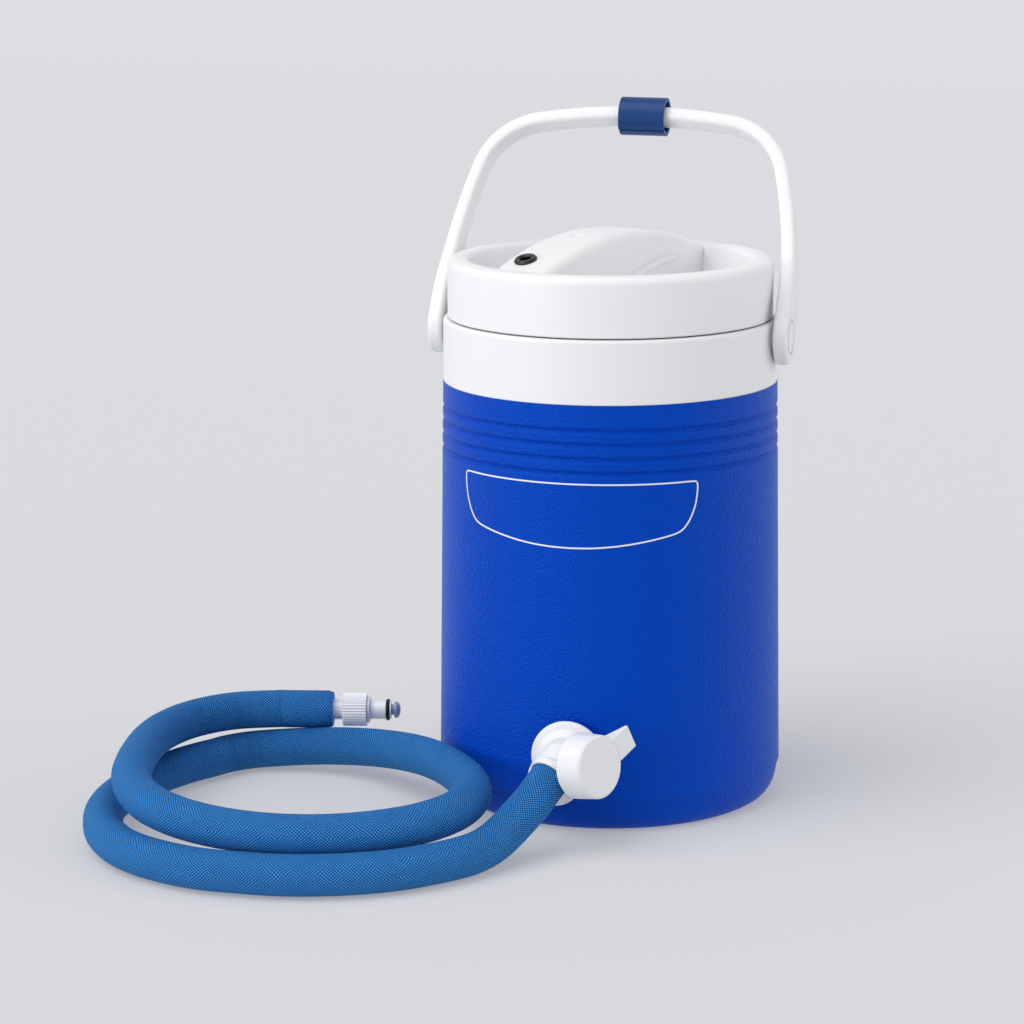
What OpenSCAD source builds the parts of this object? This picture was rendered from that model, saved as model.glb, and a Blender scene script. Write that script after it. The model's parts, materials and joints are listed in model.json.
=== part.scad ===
// Hot and cold therapy machine: an insulated jug with an air pump in its lid,
// a swinging bail handle, a lever tap and a sleeved hose with a quick connector.
// Millimetres, +Z up. The origin is the centre of the foot on the jug's axis,
// the bail swings about X, and the tap stands on the -Y side.

/* [Jug] */
// Outer radius at the widest place, just above the foot
body_r = 100; // [98:0.5:104]
// Narrowing of the blue shell from its foot to the collar
shell_taper = 3.6; // [3:0.1:4.5]
// Height of the blue shell
shell_h = 243.6; // [235:0.2:255]
// Height of the crease above the rounded foot
foot_h = 19; // [16:0.5:24]
// Distance of the ring that the jug stands on inside the widest place
foot_in = 11; // [8:0.5:14]
// Wall of the blue shell
shell_wall = 3; // [2.4:0.1:3.4]
// Number of grooves round the shoulder
groove_count = 4; // [2:1:5]
// Distance of the topmost groove below the collar
groove_drop = 14.6; // [12:0.2:18]
// Distance between grooves
groove_pitch = 7.9; // [7:0.1:9]
// Depth of a groove
groove_d = 1.4; // [0.8:0.1:1.8]
// Height of one groove
groove_h = 4.6; // [3.6:0.1:5.4]

/* [Tub] */
// Thickness of the foam jacket at the collar
jacket_t = 15.4; // [14.4:0.1:18]
// Wall of the tub
tub_wall = 2; // [1.6:0.1:2.4]
// Height of the tub's floor
tub_floor = 24.5; // [22:0.5:27]

/* [Collar] */
// Height of the white collar
collar_h = 35.8; // [33:0.2:38]
// Step from the tub's inside out to the neck's mouth
neck_step = 4.4; // [4:0.1:5]
// Number of bayonet lugs on the lid and in the neck
lug_count = 4; // [3:1:4]
// Angle that one lug covers
lug_span = 30; // [24:1:34]

/* [Lid] */
// Distance of the lid's edge inside the shell's shoulder
lid_in = 3; // [2.4:0.1:3.8]
// Gap between lid and collar, seen as the seam
seam_gap = 0.8; // [0.5:0.1:1.2]
// Width of the lid's rim round the two pockets
rim_w = 13.4; // [12.4:0.2:15]
// Depth of the two pockets
pocket_d = 27; // [22:0.5:29]
// Wall of the lid
lid_wall = 2.8; // [2.2:0.1:3.2]
// Width of the grip bar between the pockets
bar_w = 37; // [34:0.5:39]
// Distance of the grip bar's centre line from the lid's axis
bar_off = 6; // [4:0.5:9]
// Height of the grip bar's crest above the rim
bar_rise = 14.5; // [12:0.5:17]
// Direction of the grip bar, turned from +Y towards +X
bar_az = 21.5; // [18:0.5:28]
// Outer diameter of the power socket's ring
jack_d = 13; // [12:0.2:14]
// Distance the lid's plug reaches into the neck
plug_h = 19.5; // [18:0.5:22]

/* [Bail] */
// Distance of the bail's pivots below the top of the collar
pivot_drop = 8.8; // [7:0.2:11]
// Air between the collar and an arm at its pivot
arm_gap = 1.2; // [1:0.1:2]
// Height of the bail from its pivots to the top of the bar
bail_h = 140; // [132:1:146]
// Thickness of the strap
strap_t = 8.2; // [7.4:0.2:9]
// Width of the strap along its top
strap_w = 14; // [12:0.5:16]
// Width of an arm at its pivot
arm_w = 32; // [28:0.5:34]
// Backward lean of the bail as photographed
bail_lean = 30.7; // [20:0.1:40]
// Diameter of the pivot pin's shank
pin_d = 11; // [10:0.2:12]
// Diameter of the pivot pin's head
pin_head_d = 20; // [19:0.2:21]
// Length of the hose clip on the bar
clip_len = 27; // [24:0.5:30]
// Outer diameter of the hose clip
clip_d = 22.4; // [22:0.2:24]
// Wall of the hose clip
clip_wall = 2.2; // [1.8:0.1:2.4]
// Distance of the clip from the middle of the bar
clip_x = 4.5; // [3:0.5:12]

/* [Tap] */
// Height of the tap's inlet above the foot
spigot_z = 45.5; // [44:0.5:48]
// Radius of the tap's flange
flange_r = 20.5; // [19:0.5:21.5]
// Radius of the threaded shank through the wall
shank_r = 9; // [8.5:0.1:9.4]
// Radius of the water way
water_r = 3; // [2.6:0.1:3.2]
// Direction of the tap's barrel, turned from -Y towards +X
barrel_az = 61; // [58:0.5:64]
// Angle of the barrel above the horizontal
barrel_tilt = 8; // [4:0.5:12]
// Radius of the barrel's bore
barrel_bore = 5; // [4.8:0.1:5.2]
// Wall of the barrel
barrel_wall = 1.8; // [1.6:0.1:2]
// Radius of the lever's round cap
knob_r = 17.6; // [17:0.1:18.2]
// Depth of the lever's round cap
knob_t = 16.6; // [15:0.2:18]
// Distance from the barrel's middle to the face of the cap
knob_face = 30; // [29.4:0.2:31]
// Distance from the barrel's axis to the tip of the lever
lever_len = 30.6; // [28:0.2:33]
// Width of the lever
lever_w = 13; // [11:0.5:15]
// Angle of the lever above the horizontal
lever_up = 23; // [18:1:28]
// Angle of the outlet below the horizontal
outlet_dip = 32; // [28:1:36]

/* [Hose] */
// Outer diameter of the sleeved hose
hose_d = 22.5; // [22:0.1:22.9]
// Radius of the loop at its last turn
loop_r = 88; // [87:0.5:89]
// Widening of the loop towards its first turn
loop_spread = 30.6; // [30:0.1:31.2]
// Height that the second turn climbs to lie on the first
loop_climb = 23.6; // [23.4:0.1:25]

/* [Connector] */
// Outer diameter of the knurled nut
nut_d = 20; // [18:0.2:21]
// Length of the knurled nut
nut_len = 14.4; // [13:0.2:16]
// Number of flats in the nut's knurl
knurl_count = 36; // [24:2:48]
// Diameter of the plug-in end
insert_d = 11.4; // [11:0.1:12]
// Travel of the sealing poppet
poppet_travel = 2; // [1.5:0.1:2.4]

/* [Hidden] */
$fn = 96;

slip = 0.3;          // air between pieces that move past each other
fit = 0.1;           // air between pieces that are pushed together
turn_fit = 0.05;     // radial air of a running fit
seat = 0.03;         // air left where two flat faces seat
eps = 0.01;

// Jug
shoulder_r = body_r - shell_taper;
foot_r = body_r - foot_in;
groove_z = shell_h - groove_drop;
tub_r = shoulder_r - shell_wall - jacket_t - tub_wall;
neck_r = tub_r + neck_step;
collar_top = shell_h + collar_h;
tub_out = tub_r + tub_wall;
skirt_d = 10;                        // depth of the collar's skirt inside the shell
skirt_t = 2.4;
neck_t = 3;
neck_z = shell_h + 14;               // height where the tub's rim meets the neck
tub_rim_t = 2.6;
tub_rim_r = neck_r + neck_t + 2;
deck_t = 3;
collar_wall = 3;
lug_in = 3.6;                        // how far a lug reaches from its wall
lug_t = 4;
lug_gap = 2;
lug_z = collar_top - 11;             // underside of the neck's lugs
pad_y = body_r + 1.6;                // flat that the tap's gasket seats on
pad_r = flange_r - 1.5;
gasket_t = 2;
hole_slip = 0.3;
foot_rise = 3;                       // recess under the floor of the shell
plug_hole_r = 9;

// Lid
lid_r = shoulder_r - lid_in;
pocket_r = lid_r - rim_w;
lid_z = collar_top + seam_gap;
gasket_h = 2.5;
base_z = collar_top + gasket_h;      // underside of the lid base's flange
base_t = 2.2;
floor_z = base_z + base_t + fit + lid_wall;    // top of the pockets' floor
rim_z = floor_z + pocket_d;
lid_h = rim_z - lid_z;
rim_round = 5;
plug_r = neck_r - 1;
plug_wall = 2.6;
plug_z = collar_top - plug_h;        // underside of the lid's plug
crest_z = rim_z + bar_rise;
bar_reach = pocket_r - 1;
crest_r = (bar_reach * bar_reach + bar_rise * bar_rise) / (2 * bar_rise);
post_r = 4;
post_g = 36;
post_m = 42;
post_bore = 1.3;
jack_in = 25.4;                      // socket's centre, inward of the lid's edge
jack_at = [-4.3, jack_in - lid_r];   // socket, across and along the grip bar
vent_at = [-1.1, -22.4];             // vent, across and along the grip bar
dimple_r = 6;
dimple_d = 1.4;
screw_len = 10.8;
board_w = 22;
board_l = 24;
cradle_w = 22;
cradle_l = 92;
cradle_g = -54;
cradle_t = 2.4;
motor_r = 12;
motor_len = 31;
motor_g = 8;
motor_z = base_z + 18;
shaft_r = 1.5;
cam_r = 5;
cam_t = 6;
cam_off = 1.2;
head_len = 24;
head_w = 26;
head_h = 30;
nozzle_r = 3;
nozzle_g = motor_g - 14;

// Bail
pivot_z = collar_top - pivot_drop;
bail_half = shoulder_r - 0.4 + arm_gap + strap_t;
arm_bow = 0.0015;                    // how fast an arm curves inwards above its pivot
arm_even = 15.5;                     // height up to which an arm stays straight
arm_bend = bail_h - 37.6;            // height where an arm runs into the corner
corner_r = 45.1;
crown_r = 348;
arm_steps = [16, 44, 76];            // heights between which an arm narrows
boss_r = pin_d / 2 + 2.9;
boss_root = neck_r + neck_t / 2;     // the boss starts inside the neck's wall
boss_x = bail_half - strap_t - slip;
head_t = 2.4;
boss_in = 13;                        // length of the pin's seat inside the collar

// Tap
spigot_y = -pad_y;
flange_y = spigot_y - gasket_t;
flange_t = 4;
lobe_r = 15.3;                       // lobe of the flange behind the hose's end
lobe_at = [-7, -13];
barrel_y = flange_y - 15.4;
barrel_z = spigot_z;
barrel_r = barrel_bore + barrel_wall;
barrel_back = -7;                    // inner end of the bore
barrel_front = 19.6;
rotor_r = barrel_bore - turn_fit;
rotor_back = barrel_back + 0.4;
rotor_front = 14.5;
rotor_hollow = 3.2;
ring_t = 1.4;
stem_r = 3.4;
seal_s = 8;                          // place of the rotor's seal
seal_r = 1.1;
inlet_s = -2.7;                      // place where the inlet meets the rotor
inlet_turn = 4.4;
knob_back = knob_face - knob_t;
knob_wall = 2.2;
knob_flare = 0.8;
hub_r = 6;
lever_root_t = 13;
lever_tip_t = 2.2;
gland_r = 13.1;
gland_back = barrel_r + fit;         // distances from the barrel's axis
gland_t = 1.4;
gland_floor = gland_back + gland_t;
gland_depth = 3.4;
spout_r = 7.4;
nut_hex = 28;
tap_nut_t = 7;
washer_t = 2;
tub_pad_y = 3.2 - tub_r;           // flat inside the tub for the washer
tub_pad_r = 17;
shank_y = tub_pad_y + washer_t + tap_nut_t + 2;

// Hose: the free stretch runs from the gland to the left end of the loop
hose_r = hose_d / 2;
lay_z = hose_r + 0.2;                // centre line of hose that lies on the surface
loop_from = [-153.65, -25.04];       // centre of the loop at its first turn, from the barrel
loop_to = [-167.4, 10.1];            // and at its last
loop_lean = 17;                      // height of the loop where it leans on the free stretch
oval_d = 12.3;
oval_az = 125.5;
pear_d = 5.6;
pear_az = -5.3;
// Points of the free stretch, from the gland's mouth to the loop; the barrel is the start of Y
LEAD = [[-20, -41, 18.5], [-26, -53, 13.6], [-32, -64, 11.7], [-39, -75, lay_z],
        [-50, -88, lay_z], [-64, -101, lay_z], [-82, -112, lay_z], [-102, -120, lay_z],
        [-123, -125, lay_z], [-144, -126, lay_z], [-165, -125.5, lay_z], [-184, -121, lay_z],
        [-200, -114.5, lay_z], [-212, -107.6, lay_z], [-223, -99, lay_z], [-233, -88, lay_z],
        [-241, -76.5, lay_z], [-247.5, -63, lay_z], [-253.5, -47, lay_z], [-257.3, -30, lay_z],
        [-258.6, -12, lay_z], [-257.6, 7, lay_z], [-254, 26, lay_z], [-248.5, 44, lay_z],
        [-241.5, 60.5, lay_z], [-232.6, 75.6, lay_z], [-225.8, 87.2, lay_z]];
lead_sides = 12;
coil_sides = 6;
coil_rings = 24;                     // rings for each turn
coil_from = 115;
coil_to = -250;
lean_from = 125;
lean_to = 35;
climb_from = -60;
climb_to = -160;
coil_end_run = 34;
join_gap = 0.4;                      // air between the free stretch and the coil

// Connector, along the direction that the hose's end points
stub_r = 6.1;
stub_len = 6;
collar_ring_r = 8;
ring_len = 1.6;
insert_len = 9.6;
seal_len = 2.8;
nut_wall = 3;
nut_bore = nut_d / 2 - nut_wall;
tail_r = 5;
poppet_r = 3.2;
dome_r = 5;
dome_len = 3.6;

// ---------- helpers ----------
function unit(v) = v / norm(v);
function smooth(t) = let (u = min(1, max(0, t))) u * u * (3 - 2 * u);
function shell_at(z) = body_r + (shoulder_r - body_r) * (z - foot_h) / (shell_h - foot_h);
function groove_at(k, t) = let (z = groove_z - k * groove_pitch + groove_h * t)
    [shell_at(z) - groove_d * pow(cos(180 * t), 2), z];
function foot_arc(t) = [foot_r + (body_r - 1.4 - foot_r) * sin(90 * t),
                        (foot_h - 1.6) * (1 - cos(90 * t))];

module ring(r_out, r_in, z0, z1) {
    translate([0, 0, z0]) difference() {
        cylinder(r = r_out, h = z1 - z0);
        translate([0, 0, -1]) cylinder(r = r_in, h = z1 - z0 + 2);
    }
}
module rod(r, z0, z1) { translate([0, 0, z0]) cylinder(r = r, h = z1 - z0); }
module wedge(r, a) {
    polygon([[0, 0], [2 * r * cos(-a / 2), 2 * r * sin(-a / 2)], [2 * r, 0],
             [2 * r * cos(a / 2), 2 * r * sin(a / 2)]]);
}
// Along -Y through the tap's inlet: local Z points out of the jug
module at_spigot() { translate([0, 0, spigot_z]) rotate([90, 0, 0]) children(); }
// Local Z runs along the barrel to the lever, local Y is up
module at_barrel() {
    translate([0, barrel_y, barrel_z]) rotate([90 - barrel_tilt, 0, barrel_az]) children();
}
// Local Z runs along the outlet
module at_outlet() {
    at_barrel() rotate([0, 0, 180 + outlet_dip]) rotate([0, 90, 0]) children();
}
// Local Y runs along the grip bar
module at_bar() { rotate([0, 0, -bar_az]) translate([-bar_off, 0, 0]) children(); }
// Local Z stands square on the grip bar's crest at the place p
module on_bar(p) {
    at_bar() translate([p[0], 0, crest_z - crest_r]) rotate([-asin(p[1] / crest_r), 0, 0])
        translate([0, 0, crest_r]) children();
}
module at_bail() { translate([0, 0, pivot_z]) rotate([-bail_lean, 0, 0]) children(); }

// ---------- jug ----------
function groove_points() = [for (k = [groove_count - 1 : -1 : 0])
    for (t = [-0.5 : 0.125 : 0.5]) groove_at(k, t)];
function foot_points() = [for (i = [0 : 8]) foot_arc(i / 8)];

module outer_shell() {
    color("#1347b8") difference() {
        union() {
            rotate_extrude($fn = 144) polygon(concat(
                [[0, foot_rise], [foot_r - 8, foot_rise], [foot_r - 5, 0]],
                foot_points(),
                [[body_r - 0.2, foot_h]],
                groove_points(),
                [[shoulder_r, shell_h], [shoulder_r - shell_wall, shell_h],
                 [body_r - shell_wall, foot_h + 2],
                 [foot_r - 2, foot_rise + shell_wall], [0, foot_rise + shell_wall]]));
            intersection() {
                at_spigot() cylinder(r = pad_r, h = pad_y);
                ring(pad_y + 5, body_r - shell_wall - 1, foot_h + 2, 2 * spigot_z);
            }
        }
        at_spigot() translate([0, 0, tub_r]) cylinder(r = shank_r + hole_slip, h = body_r);
        translate([0, 0, -1]) cylinder(r = plug_hole_r, h = foot_rise + shell_wall + 2);
    }
}

module foam_jacket() {
    color("#e9e2b8") difference() {
        rotate_extrude() polygon([
            [0, foot_rise + shell_wall + slip],
            [foot_r - 4, foot_rise + shell_wall + slip],
            [body_r - shell_wall - 1, foot_h + 4],
            [shoulder_r - shell_wall - slip, shell_h - skirt_d - 4],
            [shoulder_r - shell_wall - skirt_t - 1, shell_h - skirt_d - 1],
            [shoulder_r - shell_wall - skirt_t - 1, shell_h],
            [tub_out + slip, shell_h],
            [tub_out + slip, tub_floor - tub_wall - slip],
            [0, tub_floor - tub_wall - slip]]);
        at_spigot() translate([0, 0, tub_r - 4]) cylinder(r = shank_r + 1, h = body_r);
        translate([0, 0, foot_rise]) cylinder(r = plug_hole_r + slip, h = shell_wall + 4.4);
    }
}

module inner_tub() {
    color("#f2f4f5") difference() {
        union() {
            rotate_extrude() polygon([
                [0, tub_floor - tub_wall], [tub_out - 5, tub_floor - tub_wall],
                [tub_out, tub_floor + 4],
                [tub_out, neck_z - tub_rim_t], [tub_rim_r, neck_z - tub_rim_t],
                [tub_rim_r, neck_z], [tub_r, neck_z],
                [tub_r, tub_floor + 5], [tub_r - 4, tub_floor], [0, tub_floor]]);
            intersection() {
                at_spigot() translate([0, 0, -tub_pad_y]) cylinder(r = tub_pad_r, h = 9);
                rod(tub_r + 0.5, tub_floor - tub_wall + 1, neck_z - 20);
            }
        }
        at_spigot() translate([0, 0, -tub_pad_y - 1]) cylinder(r = shank_r + hole_slip, h = 20);
    }
}

module fill_plug() {
    color("#0f3da6") {
        rod(plug_hole_r - fit, foot_rise - 1, foot_rise + shell_wall + 2);
        rod(plug_hole_r + 3, foot_rise - 2, foot_rise - seat);
    }
}

module neck_lugs() {
    for (k = [0 : lug_count - 1])
        rotate([0, 0, 180 / lug_count + k * 360 / lug_count])
            intersection() {
                ring(neck_r + 1, neck_r - lug_in, lug_z, lug_z + lug_t);
                translate([0, 0, lug_z]) linear_extrude(lug_t) wedge(neck_r, lug_span);
            }
}

module collar() {
    color("#f1f2f3") difference() {
        union() {
            rotate_extrude($fn = 144) polygon([
                [shoulder_r - 0.2, shell_h], [shoulder_r - 0.2, shell_h + 6],
                [shoulder_r - 0.4, collar_top - 1.6], [shoulder_r - 0.9, collar_top - 0.5],
                [shoulder_r - 2, collar_top],
                [neck_r + 0.8, collar_top], [neck_r, collar_top - 0.8],
                [neck_r, neck_z], [neck_r + neck_t, neck_z],
                [neck_r + neck_t, collar_top - deck_t],
                [shoulder_r - collar_wall - 0.4, collar_top - deck_t],
                [shoulder_r - collar_wall - 0.4, shell_h + 2],
                [shoulder_r - shell_wall - fit - skirt_t, shell_h],
                [shoulder_r - shell_wall - fit - skirt_t, shell_h - skirt_d],
                [shoulder_r - shell_wall - fit, shell_h - skirt_d],
                [shoulder_r - shell_wall - fit, shell_h]]);
            neck_lugs();
            for (s = [-1, 1]) translate([0, 0, pivot_z]) rotate([0, 90 * s, 0])
                rod(boss_r, boss_root, boss_x);
        }
        for (s = [-1, 1]) translate([0, 0, pivot_z]) rotate([0, 90 * s, 0])
            translate([0, 0, boss_x - boss_in + 1]) cylinder(r = pin_d / 2, h = boss_in);
    }
}

// ---------- bail ----------
function arm_x(s) = bail_half - arm_bow * pow(max(0, s - arm_even), 2);
arm_lean = atan(2 * arm_bow * (arm_bend - arm_even));
corner_x = arm_x(arm_bend) - corner_r * cos(arm_lean);
corner_z = arm_bend - corner_r * sin(arm_lean);
crown_a = asin(corner_x / (crown_r - corner_r));
crown_z = corner_z - (crown_r - corner_r) * cos(crown_a);
function arm_point(s, d) = let (a = atan(2 * arm_bow * max(0, s - arm_even)))
    [arm_x(s) - d * cos(a), s - d * sin(a)];
function half_outline(d) = concat(
    [for (i = [0 : 7]) arm_point(arm_even + (arm_bend - arm_even) * i / 8, d)],
    [for (i = [0 : 10]) let (a = arm_lean + (90 - crown_a - arm_lean) * i / 10)
        [corner_x + (corner_r - d) * cos(a), corner_z + (corner_r - d) * sin(a)]],
    [for (i = [1 : 6]) let (a = crown_a * (1 - i / 6))
        [(crown_r - d) * sin(a), crown_z + (crown_r - d) * cos(a)]]);
function flip(p) = [for (i = [len(p) - 1 : -1 : 0]) [-p[i][0], p[i][1]]];
function turned(p) = [for (i = [len(p) - 1 : -1 : 0]) p[i]];

module strap_outline() {
    foot = -arm_w;
    outer = half_outline(0);
    inner = half_outline(strap_t);
    polygon(concat([[bail_half, foot]], outer, flip(outer), [[-bail_half, foot]],
                   [[-bail_half + strap_t, foot]], turned(flip(inner)), turned(inner),
                   [[bail_half - strap_t, foot]]));
}

module bail_handle() {
    color("#f5f6f7") at_bail() difference() {
        intersection() {
            rotate([90, 0, 0]) linear_extrude(arm_w + 2, center = true) strap_outline();
            rotate([90, 0, 90]) linear_extrude(3 * bail_half, center = true) union() {
                circle(r = arm_w / 2);
                polygon([[-arm_w / 2, 0], [arm_w / 2, 0], [arm_w / 2 - 1, arm_steps[0]],
                         [strap_w / 2 + 2, arm_steps[1]], [strap_w / 2, arm_steps[2]],
                         [strap_w / 2, bail_h + 9], [-strap_w / 2, bail_h + 9],
                         [-strap_w / 2, arm_steps[2]], [-strap_w / 2 - 2, arm_steps[1]],
                         [-arm_w / 2 + 1, arm_steps[0]]]);
            }
        }
        for (s = [-1, 1]) rotate([0, 90 * s, 0]) {
            translate([0, 0, bail_half - 2 * strap_t])
                cylinder(r = pin_d / 2 + turn_fit, h = 4 * strap_t);
            translate([0, 0, bail_half - head_t - slip])
                cylinder(r = pin_head_d / 2 + slip, h = 4 * strap_t);
        }
    }
}

module pivot_pin(s) {
    color("#eceef0") at_bail() rotate([0, 90 * s, 0]) {
        rod(pin_d / 2, boss_x - boss_in + 1.6, bail_half - head_t);
        rod(pin_head_d / 2, bail_half - head_t, bail_half - 0.4);
        rod(pin_head_d / 2 - 1, bail_half - 0.4 - eps, bail_half);
    }
}
module pivot_pin_left() { pivot_pin(-1); }
module pivot_pin_right() { pivot_pin(1); }

clip_turn = asin(clip_x / crown_r);
clip_in = clip_d / 2 - clip_wall;
module hose_clip() {
    color("#1d3f86") at_bail()
        translate([0, 0, crown_z]) rotate([0, clip_turn, 0])
        translate([0, 0, crown_r - strap_t / 2]) rotate([90, 0, 90])
        linear_extrude(clip_len, center = true) difference() {
            union() {
                circle(r = clip_d / 2);
                rotate(-27) translate([0, -clip_d / 2 + 0.4]) square([3.4, 2.4], center = true);
            }
            circle(r = clip_in);
            rotate(-19) translate([0, -clip_d / 2]) square([1.6, 9], center = true);
        }
}

// ---------- lid ----------
module bar_section(w, top, inset) {
    // side view of the grip bar: an arch between the two ends
    rotate([90, 0, 90]) linear_extrude(w, center = true) intersection() {
        translate([-bar_reach - 6, floor_z - 12]) square([2 * bar_reach + 12, crest_z]);
        translate([0, top - crest_r]) circle(r = crest_r - inset, $fn = 360);
    }
}

module lid_pockets() {
    // the two pockets are the mouth less the grip bar
    difference() {
        translate([0, 0, floor_z]) rotate_extrude() polygon([
            [0, 0], [pocket_r - 6, 0], [pocket_r - 3.2, 1], [pocket_r - 2.4, 3],
            [pocket_r, pocket_d - 2], [pocket_r + 1.4, pocket_d + eps],
            [pocket_r + 1.4, pocket_d + 30], [0, pocket_d + 30]]);
        at_bar() linear_extrude(2 * crest_z) square([bar_w, 4 * lid_r], center = true);
    }
}

module lid_shell() {
    color("#f6f7f8") difference() {
        union() {
            difference() {
                rotate_extrude($fn = 144) polygon(concat(
                    [[0, lid_z], [lid_r - 0.4, lid_z], [lid_r, lid_z + 0.5]],
                    [for (i = [0 : 6]) let (a = 90 * i / 6)
                        [lid_r - rim_round + rim_round * cos(a) - 0.3 * i / 6,
                         rim_z - rim_round + rim_round * sin(a)]],
                    [[0, rim_z]]));
                lid_pockets();
            }
            at_bar() intersection() {
                bar_section(bar_w, crest_z, 0);
                translate([bar_off, 0, 0]) rod(pocket_r + 0.7, floor_z, crest_z + 1);
            }
            // low rib along the foot of the bar's longer wall
            at_bar() translate([bar_w / 2, 4, rim_z - 14]) rotate([90, 0, 0])
                cylinder(r = 1.8, h = 62, center = true, $fn = 16);
        }
        lid_hollow();
        on_bar(jack_at) rod(jack_d / 2 - 2.2, -2 * lid_wall, 3);
        on_bar(vent_at) {
            rod(1.6, -2 * lid_wall, 3);
            translate([0, 0, dimple_r - dimple_d]) sphere(r = dimple_r, $fn = 48);
        }
    }
    color("#f6f7f8") lid_posts();
}

module lid_hollow() {
    // room under the floors, inside the skirt and inside the grip bar
    rod(lid_r - lid_wall, lid_z - 1, floor_z - lid_wall);
    translate([0, 0, lid_z]) rotate_extrude() polygon([
        [pocket_r + lid_wall, 0], [lid_r - lid_wall, 0],
        [lid_r - lid_wall, lid_h - rim_round], [lid_r - rim_round, lid_h - lid_wall],
        [pocket_r + lid_wall + 1, lid_h - lid_wall], [pocket_r + lid_wall - 2, 6]]);
    at_bar() intersection() {
        bar_section(bar_w - 2 * lid_wall, crest_z, lid_wall);
        translate([bar_off, 0, 0]) rod(pocket_r - 2, floor_z - 2 * lid_wall, crest_z);
    }
}

module at_posts() {
    rotate([0, 0, -bar_az]) for (m = [-post_m, post_m], g = [-post_g, post_g])
        translate([m, g, 0]) children();
}
module lid_posts() {
    at_posts() difference() {
        rod(post_r, plug_z + base_t + fit, floor_z - lid_wall + eps);
        rod(post_bore, plug_z, floor_z - lid_wall - 4);
    }
}

module base_lugs() {
    for (k = [0 : lug_count - 1]) rotate([0, 0, k * 360 / lug_count])
        intersection() {
            ring(neck_r - 0.6, plug_r - lug_in - 1, plug_z, lug_z - lug_gap);
            translate([0, 0, plug_z]) linear_extrude(lug_z - lug_gap - plug_z)
                wedge(neck_r, lug_span);
        }
}

module lid_base() {
    color("#eef0f2") difference() {
        union() {
            rotate_extrude($fn = 144) polygon([
                [0, plug_z], [neck_r - lug_in - 1.6, plug_z],
                [neck_r - lug_in - 0.6, plug_z + 1], [neck_r - lug_in - 0.6, base_z - 4],
                [neck_r - 0.8, base_z - 2.4], [neck_r - 0.8, base_z],
                [lid_r - lid_wall - fit, base_z], [lid_r - lid_wall - fit, base_z + base_t],
                [neck_r - lug_in - 4, base_z + base_t], [neck_r - lug_in - 4, plug_z + base_t],
                [0, plug_z + base_t]]);
            base_lugs();
        }
        at_posts() {
            rod(1.9, plug_z - 1, plug_z + base_t + 1);
            rod(3.4, plug_z - 1, plug_z + 1.2);
        }
        at_bar() translate([0, nozzle_g, 0]) rod(nozzle_r + fit, plug_z - 1, plug_z + base_t + 1);
    }
}

module lid_gasket() {
    color("#8d949c") ring(neck_r + 6, neck_r + 1.6, collar_top + seat, base_z - seat);
}

module lid_foam() {
    color("#e9e2b8") difference() {
        rod(neck_r - lug_in - 4 - slip, plug_z + base_t + fit, floor_z - lid_wall - slip);
        at_bar() linear_extrude(3 * rim_z, center = true)
            square([bar_w - 2, 3 * lid_r], center = true);
        at_posts() rod(post_r + slip, plug_z, rim_z);
    }
}

module lid_screws() {
    color("#c9ccd0") at_posts() {
        rod(post_bore - turn_fit, plug_z + 1.2, plug_z + 1.2 + screw_len);
        rod(3.1, plug_z + 0.02, plug_z + 1.2);
    }
}

module power_socket() {
    color("#17181a") on_bar(jack_at) difference() {
        union() {
            rotate_extrude($fn = 64) polygon([
                [0, seat], [jack_d / 2, seat], [jack_d / 2, 0.9], [jack_d / 2 - 0.8, 1.8],
                [0, 1.8]]);
            rod(jack_d / 2 - 2.4, -15, 1);
        }
        rod(3.2, -12, 3);
        translate([0, 0, 1]) cylinder(r1 = 3.2, r2 = 4.4, h = 1);
    }
    color("#b9bcc0") on_bar(jack_at) rod(0.9, -12.5, -2);
}

module socket_nut() {
    color("#2a2c2f") on_bar(jack_at) difference() {
        translate([0, 0, -lid_wall - 2.6]) cylinder(r = jack_d / 2 + 0.6, h = 2.4, $fn = 6);
        rod(jack_d / 2 - 2.3, -20, 0);
    }
}

module circuit_board() {
    color("#1f6b45") at_bar() translate([0, -39, 0]) difference() {
        translate([0, 0, base_z + 6]) cube([board_w, board_l, 1.6], center = true);
        rod(1.2, base_z, base_z + 10);
    }
    color("#303338") at_bar() translate([3, -42, base_z + 6.6]) cube([7, 9, 2.2]);
    color("#d0a63a") at_bar() translate([-7.4, -36, base_z + 6.6]) cylinder(r = 3, h = 7.2);
}

module pump_cradle() {
    // stands on the lid base and carries motor, pump head and board
    color("#dfe2e5") at_bar() {
        difference() {
            union() {
                translate([-cradle_w / 2, cradle_g, plug_z + base_t + fit])
                    cube([cradle_w, cradle_l, cradle_t]);
                for (g = [motor_g + 5, motor_g + motor_len - 9])
                    translate([-cradle_w / 2, g, plug_z + base_t + fit])
                        cube([cradle_w, 5, motor_z - plug_z - base_t - 5]);
                translate([-10, nozzle_g - 3 - 5, plug_z + base_t + fit])
                    cube([20, 5, motor_z - head_h / 2 - plug_z - base_t - fit]);
                for (g = [-49, -31]) translate([-8, g, plug_z + base_t + fit])
                    cube([16, 4, base_z + 5.1 - plug_z - base_t - fit]);
            }
            translate([0, motor_g, motor_z]) rotate([-90, 0, 0])
                cylinder(r = motor_r + fit, h = motor_len + 2);
            translate([0, nozzle_g, 0]) rod(nozzle_r + 1, plug_z, motor_z);
        }
    }
}

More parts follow.
